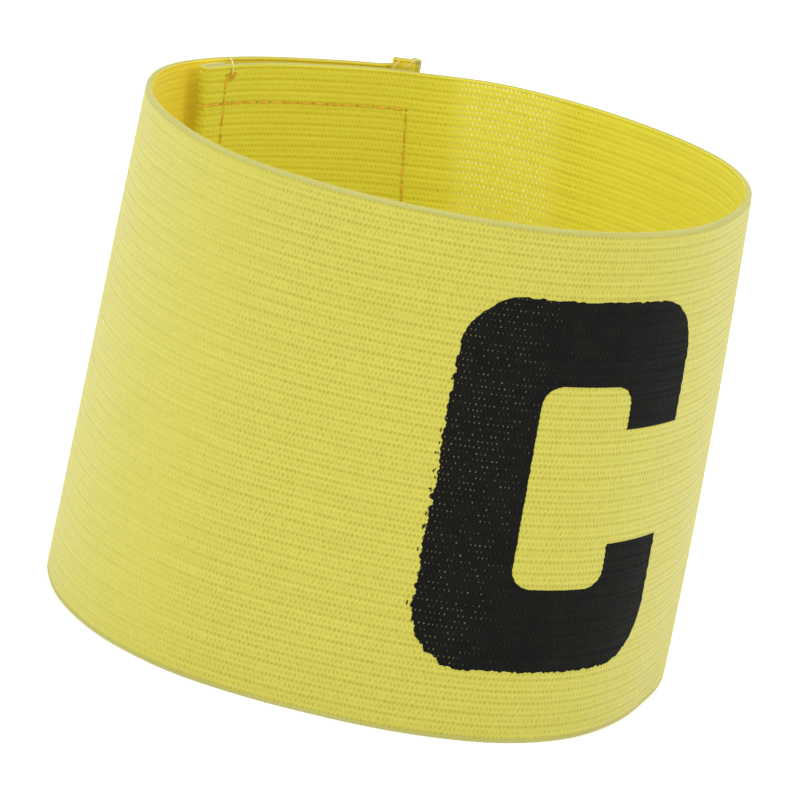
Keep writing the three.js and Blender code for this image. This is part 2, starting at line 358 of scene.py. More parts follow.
stitch_part = number(ribbed_weave, "SUBTRACT", number(ribbed_weave, "FRACT", stitch), 0.5)

# The pits, each with a chance of its own that makes it faint or strong. Those in the shallow grooves,
# which are the odd rows, are a little fainter.
pit_floor, pit_rim = 0.3, 1.85
faintest_pit, pit_spread, odd_pit_loss = 0.45, 0.7, 0.15
along = number(ribbed_weave, "MULTIPLY", stitch_part, given["Stitch Length"])
along = number(ribbed_weave, "DIVIDE", along, given["Pit Length"])
up = number(ribbed_weave, "MULTIPLY", row_part, half_rib)
up = number(ribbed_weave, "DIVIDE", up, given["Pit Height"])
along_squared = number(ribbed_weave, "POWER", along, 2)
up_squared = number(ribbed_weave, "POWER", up, 2)
distance = number(ribbed_weave, "SQRT", number(ribbed_weave, "ADD", along_squared, up_squared))
pit = ranged(ribbed_weave, distance, pit_floor, pit_rim, 1.0, 0.0)
which = ribbed_weave.nodes.new("ShaderNodeCombineXYZ")
ribbed_weave.links.new(number(ribbed_weave, "FLOOR", stitch), which.inputs["X"])
ribbed_weave.links.new(row_number, which.inputs["Y"])
chance = ribbed_weave.nodes.new("ShaderNodeTexWhiteNoise")
chance.noise_dimensions = "2D"
ribbed_weave.links.new(which.outputs[0], chance.inputs["Vector"])
ribbed_weave.links.new(chance.outputs["Value"], made["Chance"])
pit_strength = number(ribbed_weave, "MULTIPLY_ADD", chance.outputs["Value"], pit_spread, faintest_pit)
pit_strength = number(ribbed_weave, "MULTIPLY_ADD", odd_row, -odd_pit_loss, pit_strength)
ribbed_weave.links.new(number(ribbed_weave, "MULTIPLY", pit, pit_strength), made["Pits"])

# The grooves, the light on the yarn and its filaments, and the relief that all of them make.
groove_floor, groove_rim = 0.05, 0.34
shallow_groove_loss = 0.65
filament_light = 0.35
stitch_swelling, pit_depth, filament_height = 0.18, 0.9, 0.45
near_groove = number(ribbed_weave, "ABSOLUTE", row_part)
near_groove = ranged(ribbed_weave, near_groove, groove_floor, groove_rim, 1.0, 0.0)
deep_groove = number(ribbed_weave, "MULTIPLY_ADD", odd_row, -shallow_groove_loss, 1.0)
groove = number(ribbed_weave, "MULTIPLY", near_groove, deep_groove)
ribbed_weave.links.new(groove, made["Grooves"])
yarns = stretched_noise(ribbed_weave, given["Along and Up"], along=0.05, up=1.35)
filaments = stretched_noise(ribbed_weave, given["Along and Up"], along=1.6, up=5.5)
streaks = number(ribbed_weave, "MULTIPLY_ADD", filaments, filament_light, yarns)
ribbed_weave.links.new(streaks, made["Streaks"])
swelling = number(ribbed_weave, "MULTIPLY", stitch_part, 2 * math.pi)
swelling = number(ribbed_weave, "COSINE", swelling)
surface = number(ribbed_weave, "MULTIPLY", pit, -pit_depth)
surface = number(ribbed_weave, "MULTIPLY_ADD", swelling, -stitch_swelling, surface)
surface = number(ribbed_weave, "MULTIPLY_ADD", filaments, filament_height, surface)
ribbed_weave.links.new(surface, made["Relief"])


# A material of the weave, with painted shade in its pits and grooves. Beyond a place on the strip
# that painted shade is fainter, and the inner side has painted light and shade for the light that
# comes through the cloth. Places are millimetres along the strip, in pairs of where a change begins
# and where it is complete.
dark_streak, light_streak = 0.35, 0.95
yarn_roughness, pit_roughness = 0.72, 0.95
relief_height = 0.16 * mm


def woven_finish(
    name, yarn, streak_yarn, shade, groove_shade, pits, grooves, bump, sheen, fading_shade=None, inner=None
):
    material = bpy.data.materials.new(name)
    material.use_nodes = True
    tree = material.node_tree
    shader = tree.nodes["Principled BSDF"]
    coordinates = tree.nodes.new("ShaderNodeUVMap")
    coordinates.uv_map = "weave_mm"
    weave = tree.nodes.new("ShaderNodeGroup")
    weave.node_tree = ribbed_weave
    tree.links.new(coordinates.outputs[0], weave.inputs["Along and Up"])
    place = tree.nodes.new("ShaderNodeSeparateXYZ")
    tree.links.new(coordinates.outputs[0], place.inputs[0])
    way = place.outputs["X"]
    # Beyond a place, the painted shade of the pits and grooves fades to a share of itself.
    if fading_shade:
        shade_kept = ranged(tree, way, *fading_shade["between"], 1.0, fading_shade["shade_left"])
        pits = number(tree, "MULTIPLY", shade_kept, pits)
        grooves = number(tree, "MULTIPLY", shade_kept, grooves)
    streaks = ranged(tree, weave.outputs["Streaks"], dark_streak, light_streak)
    streaked = blended(tree, streaks, streak_yarn, yarn)
    in_groove = number(tree, "MULTIPLY", weave.outputs["Grooves"], grooves)
    grooved = blended(tree, in_groove, streaked, groove_shade)
    # Painted light and shade for the light through the cloth: darker where the cloth is doubled, a
    # lighter orange and a painted glow past the inner end, and pale painted light in the pits round one
    # place.
    if inner:
        doubled_shade = blended(tree, 1.0, grooved, inner["doubled_painted_shade"], "MULTIPLY")
        grooved = blended(tree, ranged(tree, way, *inner["single_between"]), doubled_shade, grooved)
        grooved = blended(tree, ranged(tree, way, *inner["lit_between"]), grooved, inner["lit"])
        glow_on = ranged(tree, way, *inner["glow_on_between"])
        glow_off = ranged(tree, way, *inner["glow_off_between"], 1.0, 0.0)
        glow = number(tree, "MULTIPLY", glow_on, glow_off)
        tree.links.new(blended(tree, glow, (0, 0, 0, 1), inner["lit"]), shader.inputs["Emission Color"])
        shader.inputs["Emission Strength"].default_value = inner["glow"]
        off_middle = number(tree, "SUBTRACT", way, inner["pinholes_middle"])
        off_middle = number(tree, "ABSOLUTE", off_middle)
        see_through_share = ranged(tree, off_middle, *inner["pinholes_between"])
        shade = blended(tree, see_through_share, shade, inner["see_through_light"])
        weave.inputs["Pit Height"].default_value = inner["pit_height"]
    in_pit = number(tree, "MULTIPLY", weave.outputs["Pits"], pits)
    tree.links.new(blended(tree, in_pit, grooved, shade), shader.inputs["Base Color"])
    rough = ranged(tree, weave.outputs["Pits"], 0.0, 1.0, yarn_roughness, pit_roughness)
    tree.links.new(rough, shader.inputs["Roughness"])
    add_bumps(tree, weave.outputs["Relief"], bump, relief_height)
    shader.inputs["Specular IOR Level"].default_value = 0.25
    shader.inputs["Sheen Weight"].default_value = sheen
    shader.inputs["Sheen Roughness"].default_value = 0.45
    shader.inputs["Sheen Tint"].default_value = (1.0, 1.0, 0.88, 1)
    return material


# The painted shade in the pits and grooves is fainter outside left of the letter, and inside on the
# right.
outside_finish = woven_finish(
    "elastic_outside", pits=0.64, grooves=0.42, bump=0.5, sheen=0.36,
    yarn=(0.55, 0.512, 0.078, 1), streak_yarn=(0.51, 0.474, 0.066, 1),
    shade=(0.34, 0.305, 0.028, 1), groove_shade=(0.42, 0.375, 0.036, 1),
    fading_shade={"between": (220, 240), "shade_left": 0.42},
)

# The inside's yarn is painted lighter than the outside's, and its pits and grooves get a lighter,
# orange painted shade: painted light for what comes through the cloth. Under the overlap it is
# painted darker, as no light comes through there. Beside it the pits round one place have pale
# painted light that shows through the pinholes, and past the inner end the outer layer is painted a
# lighter orange and glows with painted orange light.
inside_painted_light_finish = woven_finish(
    "elastic_inside_painted_light", pits=0.65, grooves=0.4, bump=0.3, sheen=0.08,
    yarn=(0.785, 0.725, 0.062, 1), streak_yarn=(0.735, 0.67, 0.05, 1),
    shade=(0.54, 0.45, 0.02, 1), groove_shade=(0.64, 0.5, 0.015, 1),
    fading_shade={"between": (70, 83), "shade_left": 0.25},
    inner={
        "doubled_painted_shade": (0.91, 0.905, 0.83, 1),
        "single_between": (44, 56),
        "lit": (0.8, 0.63, 0.035, 1),
        "lit_between": (280, 290),
        "glow": 0.27,
        "glow_on_between": (299, 309),
        "glow_off_between": (310, 314),
        "see_through_light": (1.0, 0.97, 0.6, 1),
        "pinholes_middle": 61,
        "pinholes_between": (11, 5.5),
        "pit_height": 0.23,
    },
)
selvedge_finish = woven_finish(
    "selvedge_cord", pits=0.35, grooves=0.0, bump=0.3, sheen=0.1,
    yarn=(0.46, 0.44, 0.12, 1), streak_yarn=(0.42, 0.4, 0.1, 1),
    shade=(0.35, 0.33, 0.07, 1), groove_shade=(0.39, 0.37, 0.08, 1),
)
for finish in (outside_finish, inside_painted_light_finish, selvedge_finish):
    webbing_band.data.materials.append(finish)
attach(webbing_band, "root")
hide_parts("webbing_band")

# The loop tape: a piece of brushed nylon tape with a pile of soft loops, sewn flat on the outer side of
# the inner end, beside its hem. A wedge of it shows at the back below the outer end.
patch_width = 69 * mm
patch_low = 5.5 * mm
loop_tape_length = 39 * mm
loop_from = 6.3 * mm / mean_radius
loop_to = loop_from + loop_tape_length / mean_radius
tape_near = 0.06 * mm
tape_far = 1.2 * mm
tape_grid = 0.9 * mm
rim_press = (0.55, 0.8, 0.97)


# A sewn-on tape: a closed sheet that follows the strip on one of its sides, thinner at its sewn rim.
def sewn_tape(name, start, end, side_of_strip, roughen):
    tape = bmesh.new()
    tape_uv = tape.loops.layers.uv.new("weave_mm")
    along = even_steps(start, end, tape_grid / mean_radius)
    up = even_steps(patch_low, patch_low + patch_width, tape_grid)

    def layer(lift, uneven):
        made_layer = []
        for i, travelled in enumerate(along):
            line = []
            for j, z in enumerate(up):
                rim = min(i, j, len(along) - 1 - i, len(up) - 1 - j)
                share = rim_press[rim] if rim < len(rim_press) else 1.0
                rough = roughen(i, j) if uneven and rim else 0
                outside = side_of_strip(tape_near + (lift - tape_near) * share + rough)
                line.append(tape.verts.new(strip_point(travelled, z, outside, lift=0)))
            made_layer.append(line)
        return made_layer

    def cover(points, flip):
        for i in range(len(along) - 1):
            for j in range(len(up) - 1):
                corners = [(i, j), (i + 1, j), (i + 1, j + 1), (i, j + 1)]
                if flip:
                    corners.reverse()
                face = tape.faces.new([points[a][b] for a, b in corners])
                face.smooth = True
                for loop, (a, b) in zip(face.loops, corners):
                    loop[tape_uv].uv = (along[a] * mean_radius / mm, up[b] / mm)

    under, over = layer(tape_near, False), layer(tape_far, True)
    cover(under, True)
    cover(over, False)
    rim_edges = [edge for edge in tape.edges if edge.is_boundary]
    bmesh.ops.bridge_loops(tape, edges=rim_edges)
    bmesh.ops.recalc_face_normals(tape, faces=tape.faces[:])
    return finished_piece(name, tape)


pile = random.Random(11)
loop_tape = sewn_tape(
    "loop_tape_patch", loop_from, loop_to, lambda lift: lift,
    lambda i, j: pile.uniform(-0.1, 0.04) * mm,
)


# The grain of loose fibres, as on brushed tape and on spun thread.
fibre_grain = bpy.data.node_groups.new("fibre_grain", "ShaderNodeTree")
for name in ("Place", "Stretch"):
    fibre_grain.interface.new_socket(name, in_out="INPUT", socket_type="NodeSocketVector")
fibre_grain.interface.new_socket("Grain", in_out="OUTPUT", socket_type="NodeSocketFloat")
given = fibre_grain.nodes.new("NodeGroupInput").outputs
made = fibre_grain.nodes.new("NodeGroupOutput").inputs
stretch = fibre_grain.nodes.new("ShaderNodeVectorMath")
stretch.operation = "MULTIPLY"
fibre_grain.links.new(given["Place"], stretch.inputs[0])
fibre_grain.links.new(given["Stretch"], stretch.inputs[1])
fibres = fibre_grain.nodes.new("ShaderNodeTexNoise")
fibres.inputs["Scale"].default_value = 1
fibres.inputs["Detail"].default_value = 3
fibre_grain.links.new(stretch.outputs[0], fibres.inputs["Vector"])
fibre_grain.links.new(fibres.outputs["Fac"], made["Grain"])


# A material of such fibres: its colours and roughness follow the grain, and so does its bump. It reads
# its own UV map of the name given as its place, or else Object coordinates. Most of the noise lies
# between the limits named here.
dark_grain, light_grain = 0.32, 0.68
first_grain, last_grain = 0.2, 0.8


def fibre_finish(name, light, dark, place, stretch, roughness, bump, bump_height, sheen=0.0):
    material = bpy.data.materials.new(name)
    material.use_nodes = True
    tree = material.node_tree
    shader = tree.nodes["Principled BSDF"]
    fibres = tree.nodes.new("ShaderNodeGroup")
    fibres.node_tree = fibre_grain
    fibres.inputs["Stretch"].default_value = stretch
    if place == "Object":
        coordinates = tree.nodes.new("ShaderNodeTexCoord").outputs["Object"]
    else:
        uv_map = tree.nodes.new("ShaderNodeUVMap")
        uv_map.uv_map = place
        coordinates = uv_map.outputs[0]
    tree.links.new(coordinates, fibres.inputs["Place"])
    grain = fibres.outputs["Grain"]
    colour = blended(tree, ranged(tree, grain, dark_grain, light_grain), dark, light)
    tree.links.new(colour, shader.inputs["Base Color"])
    rough = ranged(tree, grain, first_grain, last_grain, *roughness)
    tree.links.new(rough, shader.inputs["Roughness"])
    add_bumps(tree, grain, bump, bump_height)
    shader.inputs["Sheen Weight"].default_value = sheen
    shader.inputs["Sheen Roughness"].default_value = 0.5
    return material


loop_tape.data.materials.append(fibre_finish(
    "brushed_loop_tape", light=(0.6, 0.53, 0.075, 1), dark=(0.44, 0.37, 0.035, 1),
    place="weave_mm", stretch=(2.4, 2.4, 1), roughness=(0.95, 0.7),
    bump=0.7, bump_height=0.3 * mm, sheen=0.4,
))
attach(loop_tape, "root")
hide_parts("loop_patch")

# The hook tape: a stiffer nylon tape with rows of small hooks, sewn on the inner side of the outer end.
# Its hooks hold the loops of the other tape, so only its edges can be seen between the layers.
hook_tape_length = 28 * mm
hook_depth = 0.3 * mm
hook_to = strip_angle - 4.3 * mm / mean_radius
hook_from = hook_to - hook_tape_length / mean_radius
hook_tape = sewn_tape(
    "hook_tape_patch", hook_from, hook_to, lambda lift: -webbing_thickness - lift,
    lambda i, j: -hook_depth if i % 2 else 0.0,
)
hook_tape.data.materials.append(fibre_finish(
    "hook_tape", light=(0.66, 0.56, 0.08, 1), dark=(0.45, 0.36, 0.035, 1),
    place="weave_mm", stretch=(1.3, 3.2, 1), roughness=(0.8, 0.6),
    bump=0.6, bump_height=0.3 * mm, sheen=0.1,
))
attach(hook_tape, "root")
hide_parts("hook_patch")

# The seams: orange polyester thread, lockstitched by machine about 3 mm a stitch. Each hem has one row
# across the strip, and each tape is sewn down along its edges. The stitches sink into the soft elastic,
# and the needle leaves a dark hole between one and the next.
stitch_length = 3.05 * mm
stitch_shape = (0.16 * mm, 0.19 * mm, 1.3 * mm)
stitch_ends = 0.9 * mm
stitch_dip = 0.16 * mm
bpy.ops.object.select_all(action="DESELECT")
bpy.ops.mesh.primitive_uv_sphere_add(segments=8, ring_count=7, radius=1, rotation=(0, math.pi / 2, 0))
one_stitch = bpy.context.object
one_stitch.scale = stitch_shape
bpy.ops.object.transform_apply(location=False, rotation=True, scale=True)
bpy.ops.object.mode_set(mode="EDIT")
stitch_edit = bmesh.from_edit_mesh(one_stitch.data)
for vert in stitch_edit.verts:
    vert.select_set(abs(vert.co.x) > stitch_ends)
stitch_edit.select_flush_mode()
bmesh.update_edit_mesh(one_stitch.data)
bpy.ops.transform.translate(value=(0, 0, -stitch_dip))
bpy.ops.object.mode_set(mode="OBJECT")
bpy.ops.object.shade_smooth()

hole_radius = 0.25 * mm
hole_rim = 0.08 * mm
hole_depth = 0.06 * mm
bpy.ops.object.select_all(action="DESELECT")
bpy.ops.mesh.primitive_cylinder_add(vertices=8, radius=hole_radius, depth=0.1 * mm)
one_hole = bpy.context.object
bpy.ops.object.mode_set(mode="EDIT")
hole_edit = bmesh.from_edit_mesh(one_hole.data)
for face in hole_edit.faces:
    face.select_set(face.normal.z > 0.9)
bmesh.update_edit_mesh(one_hole.data)
bpy.ops.mesh.inset(thickness=hole_rim)
bpy.ops.transform.translate(value=(0, 0, -hole_depth))
bpy.ops.object.mode_set(mode="OBJECT")
bpy.ops.object.shade_smooth()


# Where a small thing lies on the strip: its X along the given way over the cloth, its Z away from it.
def laid_on(travelled, z, outside, way_along, way_up, facing):
    here = strip_point(travelled, z, outside)
    small = 0.05 * mm
    beside = strip_point(travelled - small / mean_radius, z, outside) - here
    above = strip_point(travelled, z + small, outside) - here
    away = beside.cross(above).normalized() * facing
    ahead = (beside.normalized() * way_along + above.normalized() * way_up).normalized()
    across = away.cross(ahead)
    return Matrix((
        (ahead.x, across.x, away.x, here.x),
        (ahead.y, across.y, away.y, here.y),
        (ahead.z, across.z, away.z, here.z),
        (0, 0, 0, 1),
    ))


# A row of stitches over a line of points on the cloth. Each point is a way along the strip and a height
# in metres. The thread lies a little proud of the face it is sewn through, and no stitch is quite
# straight.
most_turned = 0.07


def sew(name, lines, outside, facing, seed, sunk=0.0):
    uneven = random.Random(seed)
    thread, holes = bmesh.new(), bmesh.new()
    for line in lines:
        for (way, z), (next_way, next_z) in zip(line, line[1:]):
            length = math.hypot(next_way - way, next_z - z)
            count = max(1, round(length / stitch_length))
            for i in range(count):
                share = (i + 0.5) / count
                for piece, into, place, turn in (
                    (one_stitch, thread, share, uneven.uniform(-most_turned, most_turned)),
                    (one_hole, holes, share - 0.5 / count, 0.0),
                ):
                    at = laid_on(
                        (way + (next_way - way) * place) / mean_radius,
                        z + (next_z - z) * place,
                        outside + facing * (uneven.uniform(0.02, 0.06) * mm - sunk),
                        -(next_way - way) / length,
                        (next_z - z) / length,
                        facing,
                    )
                    before = len(into.verts)
                    into.from_mesh(piece.data)
                    into.verts.ensure_lookup_table()
                    turned_there = at @ Matrix.Rotation(turn, 4, "Z")
                    bmesh.ops.transform(into, matrix=turned_there, verts=into.verts[before:])
    made_pieces = []
    for suffix, form in (("thread", thread), ("needle_holes", holes)):
        piece = finished_piece(f"{name}_{suffix}", form)
        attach(piece, "root")
        made_pieces.append(piece)
    return made_pieces


thread_finish = fibre_finish(
    "orange_thread", light=(0.8, 0.46, 0.02, 1), dark=(0.62, 0.33, 0.012, 1),
    place="Object", stretch=(900, 900, 900), roughness=(0.65, 0.55), bump=0.5, bump_height=0.08 * mm,
)
hole_finish = fibre_finish(
    "needle_hole", light=(0.58, 0.45, 0.03, 1), dark=(0.44, 0.33, 0.02, 1),
    place="Object", stretch=(1500, 1500, 1500), roughness=(0.98, 0.9), bump=0.3, bump_height=0.08 * mm,
)

# A hem's row starts and ends short of the edges. A tape's box is open at the end of the strip, where
# the hem's row closes it.
hem_row_margin = 1.6 * mm
box_margin = 1 * mm
box_low = patch_low + box_margin
box_high = patch_low + patch_width - box_margin
box_start = 0.4 * mm
loop_box_start = loop_from * mean_radius + 1.2 * mm
loop_box_end = loop_to * mean_radius - 1.6 * mm
hook_box_end = hook_from * mean_radius + 1.2 * mm
inner_hem_row = 4.3 * mm
outer_hem_row = strip_length - 2.9 * mm
inner_face = -webbing_thickness
pile_top = 1.16 * mm
sunk_in_cloth = 0.03 * mm
sunk_in_pile = 0.12 * mm


def hem_row(way):
    return [(way, webbing_width - hem_row_margin), (way, hem_row_margin)]


def tape_box(start, end):
    return [(start, box_high), (end, box_high), (end, box_low), (start, box_low)]


inner_lines = [hem_row(inner_hem_row), tape_box(box_start, loop_box_end)]
outer_lines = [hem_row(outer_hem_row), tape_box(strip_length - box_start, hook_box_end)]
loop_tape_lines = [tape_box(loop_box_start, loop_box_end)]
sewn = [
    sew("inner_end", inner_lines, inner_face, -1, 3, sunk_in_cloth),
    sew("outer_end", outer_lines, 0.0, 1, 4, sunk_in_cloth),
    sew("loop_tape", loop_tape_lines, pile_top, 1, 5, sunk_in_pile),
]
for thread_piece, hole_piece in sewn:
    thread_piece.data.materials.append(thread_finish)
    hole_piece.data.materials.append(hole_finish)
bpy.data.objects.remove(one_stitch)
bpy.data.objects.remove(one_hole)

# Loose thread where the seams were begun and cut off: a small knot and a pale end beside the inner hem,
# a short end at it, and two stray loops of pale yarn on the outer end's hem where it stands up.
pale_thread = fibre_finish(
    "pale_thread", light=(0.74, 0.7, 0.42, 1), dark=(0.57, 0.52, 0.26, 1),
    place="Object", stretch=(900, 900, 900), roughness=(0.65, 0.55), bump=0.5, bump_height=0.08 * mm,
)


# Each point is a way along the strip, a height, and how far outside the outer face, in millimetres.
def loose_end(name, half_thickness, finish, points):
    curve = bpy.data.curves.new(name, "CURVE")
    curve.dimensions = "3D"
    curve.bevel_depth = half_thickness
    curve.bevel_resolution = 2
    curve.resolution_u = 6
    curve.use_fill_caps = True
    spline = curve.splines.new("NURBS")
    spline.points.add(len(points) - 1)
    for point, (way, z, outside) in zip(spline.points, points):
        point.co = (*strip_point(way * mm / mean_radius, z * mm, outside * mm), 1)
    spline.order_u = 4
    spline.use_endpoint_u = True
    drawn = bpy.data.objects.new(f"{name}_curve", curve)
    bpy.context.scene.collection.objects.link(drawn)
    evaluated = drawn.evaluated_get(bpy.context.evaluated_depsgraph_get())
    mesh = bpy.data.meshes.new_from_object(evaluated)
    bpy.data.objects.remove(drawn)
    mesh.name = name
    mesh.materials.clear()
    mesh.materials.append(finish)
    piece = bpy.data.objects.new(name, mesh)
    bpy.context.scene.collection.objects.link(piece)
    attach(piece, "root")


tab = strip_length / mm
loose_end("knot", 0.13 * mm, thread_finish, [
    (4.5, 77.4, -1.3), (5.1, 78.4, -1.8), (6.1, 78.9, -1.5), (6.3, 78.0, -1.2),
    (5.3, 77.5, -1.6), (4.6, 78.3, -1.9), (5.4, 79.2, -1.5), (6.7, 78.7, -1.3),
])
loose_end("pale_end", 0.11 * mm, pale_thread, [
    (5.7, 79.0, -1.3), (6.1, 79.8, -1.0), (6.8, 80.3, -0.3), (7.4, 80.6, 0.6), (7.6, 80.7, 1.3),
])
loose_end("cut_end", 0.17 * mm, thread_finish, [
    (1.2, 73.4, -1.15), (0.1, 73.5, -1.35), (-0.9, 73.4, -0.9), (-1.6, 73.2, 0.1),
])
loose_end("left_stray_loop", 0.09 * mm, pale_thread, [
    (tab - 4.4, 78.6, -2.5), (tab - 4.1, 79.7, -2.7), (tab - 3.6, 80.7, -2.6), (tab - 2.9, 80.9, -2.5),
])
loose_end("right_stray_loop", 0.09 * mm, pale_thread, [
    (tab - 2.3, 78.8, -2.5), (tab - 1.5, 79.5, -2.7), (tab - 0.6, 80.0, -2.7), (tab + 0.2, 80.1, -2.2),
])

# The printed letter: a plain block C, the usual sign for a captain, screen printed on the front in
# black textile ink. The ink lies on the tops of the ribs, so each row of yarn ends it a little sooner
# or later, mostly at its left edge, and the pits in the weave there stay bare.
letter_width = 43 * mm
letter_base = 11.3 * mm
letter_height = 58 * mm
letter_stem = 14 * mm
letter_bar = 13.2 * mm
letter_tip = 13 * mm
letter_opening = 18 * mm
letter_corner = 9.5 * mm
letter_inner_corner = 3 * mm
letter_middle = inner_end_angle + 2 * math.pi - math.radians(302.8)
ink_step = 0.4 * mm
ink_over = 0.05 * mm
ink_under = 0.03 * mm
row_end_rounding = 0.1 * mm
steps_in_row = len(rib_depths) // 2
ink_rows = 100
ink_columns = 120
ink_noise = random.Random(29)
left_rows = [ink_noise.uniform(-0.34, 0.34) * mm for _ in range(ink_rows)]
right_rows = [ink_noise.uniform(-0.07, 0.07) * mm for _ in range(ink_rows)]


def level_at(z):
    return round((z - selvedge_width) / row_step)


def height_of(level):
    return selvedge_width + level * row_step


# How much a row of yarn carries the ink past the outline. The rows are rounded at their ends.
def row_end(rows, level, amount=1.0):
    row, part = divmod(level + steps_in_row / 2, steps_in_row)
    at_side = part < steps_in_row / 4 or part > steps_in_row * 3 / 4
    return amount * (rows[int(row)] - (row_end_rounding if at_side else 0))


def corner_inset(distance, radius):
    return radius - math.sqrt(radius**2 - (radius - min(distance, radius)) ** 2)


# The left edge is the most ragged in its lower part, and the right edge and the inside are tidier.
top_ragged, low_ragged, inner_ragged = 0.55, 1.15, 0.8


def outer_edges(level):
    y = height_of(level) - letter_base
    inset = corner_inset(max(min(y, letter_height - y), 0), letter_corner)
    lowness = eased(letter_height - y, 0.1 * letter_height, 0.6 * letter_height)
    ragged = top_ragged + (low_ragged - top_ragged) * lowness
    left = -letter_width / 2 + inset - row_end(left_rows, level, ragged)
    right = letter_width / 2 - inset + row_end(right_rows, level)
    return left, right


def inner_edges(level):
    y = height_of(level) - letter_base
    from_bar = max(min(y - letter_bar, letter_height - letter_bar - y), 0)
    inset = corner_inset(from_bar, letter_inner_corner)
    stem_row = row_end(right_rows, level + steps_in_row, inner_ragged)
    tip_row = row_end(right_rows, level + 2 * steps_in_row, inner_ragged)
    stem = -letter_width / 2 + letter_stem + inset + stem_row
    tip = letter_width / 2 - letter_tip - inset - tip_row
    return stem, tip


ink = bmesh.new()
ink_uv = ink.loops.layers.uv.new("weave_mm")
ink_points = {}


def rib_depth(z):
    row, part = divmod((z - selvedge_width) / row_step, 1)
    below = rib_depths[int(row) % len(rib_depths)]
    above = rib_depths[int(row + 1) % len(rib_depths)]
    return (below * (1 - part) + above * part) * mm


# The ink ends in small teeth along its lower and upper edge, longest under the left corner. There is
# one for each column of points, and those left of the middle are read from the lists' ends.
low_teeth = [ink_noise.uniform(-0.2, 0.2) * mm for _ in range(ink_columns)]
corner_teeth = [ink_noise.uniform(0, 0.75) * mm for _ in range(ink_columns)]
high_teeth = [ink_noise.uniform(-0.14, 0.14) * mm for _ in range(ink_columns)]
low_teeth_reach = 1.3 * mm
high_teeth_reach = 1 * mm
corner_teeth_from, corner_teeth_to = 12 * mm, 6 * mm


def toothed(x, z):
    column = round(x / ink_step)
    from_left, from_right = x + letter_width / 2, letter_width / 2 - x
    inset = corner_inset(max(min(from_left, from_right), 0), letter_corner)
    above_edge = max(z - letter_base - inset, 0)
    below_top = max(letter_base + letter_height - inset - z, 0)
    near_corner = eased(corner_teeth_from - from_left, 0, corner_teeth_to)
    low = low_teeth[column] + corner_teeth[column] * near_corner
    z -= low * max(1 - above_edge / low_teeth_reach, 0)
    return z + high_teeth[column // 2] * max(1 - below_top / high_teeth_reach, 0)


def ink_point(level, x):
    key = (level, round(x / mm, 4))
    if key not in ink_points:
        travelled = letter_middle - x / mean_radius
        z = toothed(x, height_of(level))
        sunk = rib_depth(z)
        over = ink.verts.new(strip_point(travelled, z, ink_over - sunk))
        under = ink.verts.new(strip_point(travelled, z, -ink_under - sunk))
        ink_points[key] = (over, under, (travelled * mean_radius / mm, z / mm))
    return ink_points[key]


def columns(left, right, extra=()):
    first = math.ceil(left / ink_step + rounding)
    last = math.floor(right / ink_step - rounding)
    return sorted({left, right, *extra, *(i * ink_step for i in range(first, last + 1))})


# Triangles over and under the ink between two levels, with the columns of each in order.
def print_strip(level, lower, upper):
    a, b = 0, 0
    while a < len(lower) - 1 or b < len(upper) - 1:
        corners = [ink_point(level, lower[a]), ink_point(level + 1, upper[b])]
        if b == len(upper) - 1 or a < len(lower) - 1 and lower[a + 1] <= upper[b + 1]:
            a += 1
            corners.insert(1, ink_point(level, lower[a]))
        else:
            b += 1
            corners.insert(1, ink_point(level + 1, upper[b]))
        for side, order in ((0, corners), (1, corners[::-1])):
            face = ink.faces.new([corner[side] for corner in order])
            face.smooth = True
            for loop, corner in zip(face.loops, order):
                loop[ink_uv].uv = corner[2]


def print_part(first, last, edges_at):
    for level in range(first, last):
        lower, upper = edges_at(level), edges_at(level + 1)
        print_strip(level, columns(*lower), columns(*upper))


lowest = level_at(letter_base)
highest = level_at(letter_base + letter_height)
low_bar = level_at(letter_base + letter_bar)
high_bar = level_at(letter_base + letter_height - letter_bar)
low_tip = level_at(letter_base + (letter_height - letter_opening) / 2)
high_tip = level_at(letter_base + (letter_height + letter_opening) / 2)


# A bar shares the stem's and the tip's corners where they begin.
def bar_edges(level):
    return (*outer_edges(level), inner_edges(level) if level in (low_bar, high_bar) else ())


def stem_edges(level):
    return outer_edges(level)[0], inner_edges(level)[0]


def tip_edges(level):
    return inner_edges(level)[1], outer_edges(level)[1]


print_part(lowest, low_bar, bar_edges)
print_part(high_bar, highest, bar_edges)
print_part(low_bar, high_bar, stem_edges)
print_part(low_bar, low_tip, tip_edges)
print_part(high_tip, high_bar, tip_edges)

# A few specks of ink left of the stem, then the narrow side between the ink's two faces.
speck_count = 16
for _ in range(speck_count):
    level = ink_noise.randrange(lowest + 4, high_bar)
    x = outer_edges(level)[0] - ink_noise.uniform(0.3, 0.8) * mm
    wide = ink_noise.uniform(0.12, 0.26) * mm
    print_part(level, level + ink_noise.randint(1, 2), lambda _, x=x, wide=wide: (x, x + wide))
under_of = {over: under for over, under, _ in ink_points.values()}
for edge in [edge for edge in ink.edges if edge.is_boundary and edge.verts[0] in under_of]:
    first, second = edge.verts
    side_face = ink.faces.new((first, second, under_of[second], under_of[first]))
    side_face.smooth = True
bmesh.ops.recalc_face_normals(ink, faces=ink.faces[:])
printed_letter = finished_piece("printed_letter", ink)

ink_finish = bpy.data.materials.new("black_textile_ink")
ink_finish.use_nodes = True
tree = ink_finish.node_tree
shader = tree.nodes["Principled BSDF"]
coordinates = tree.nodes.new("ShaderNodeUVMap")
coordinates.uv_map = "weave_mm"
weave = tree.nodes.new("ShaderNodeGroup")
weave.node_tree = ribbed_weave
ink_pit_length, ink_pit_height = 0.11, 0.14
weave.inputs["Pit Length"].default_value = ink_pit_length
weave.inputs["Pit Height"].default_value = ink_pit_height
tree.links.new(coordinates.outputs[0], weave.inputs["Along and Up"])
place = tree.nodes.new("ShaderNodeSeparateXYZ")
tree.links.new(coordinates.outputs[0], place.inputs[0])

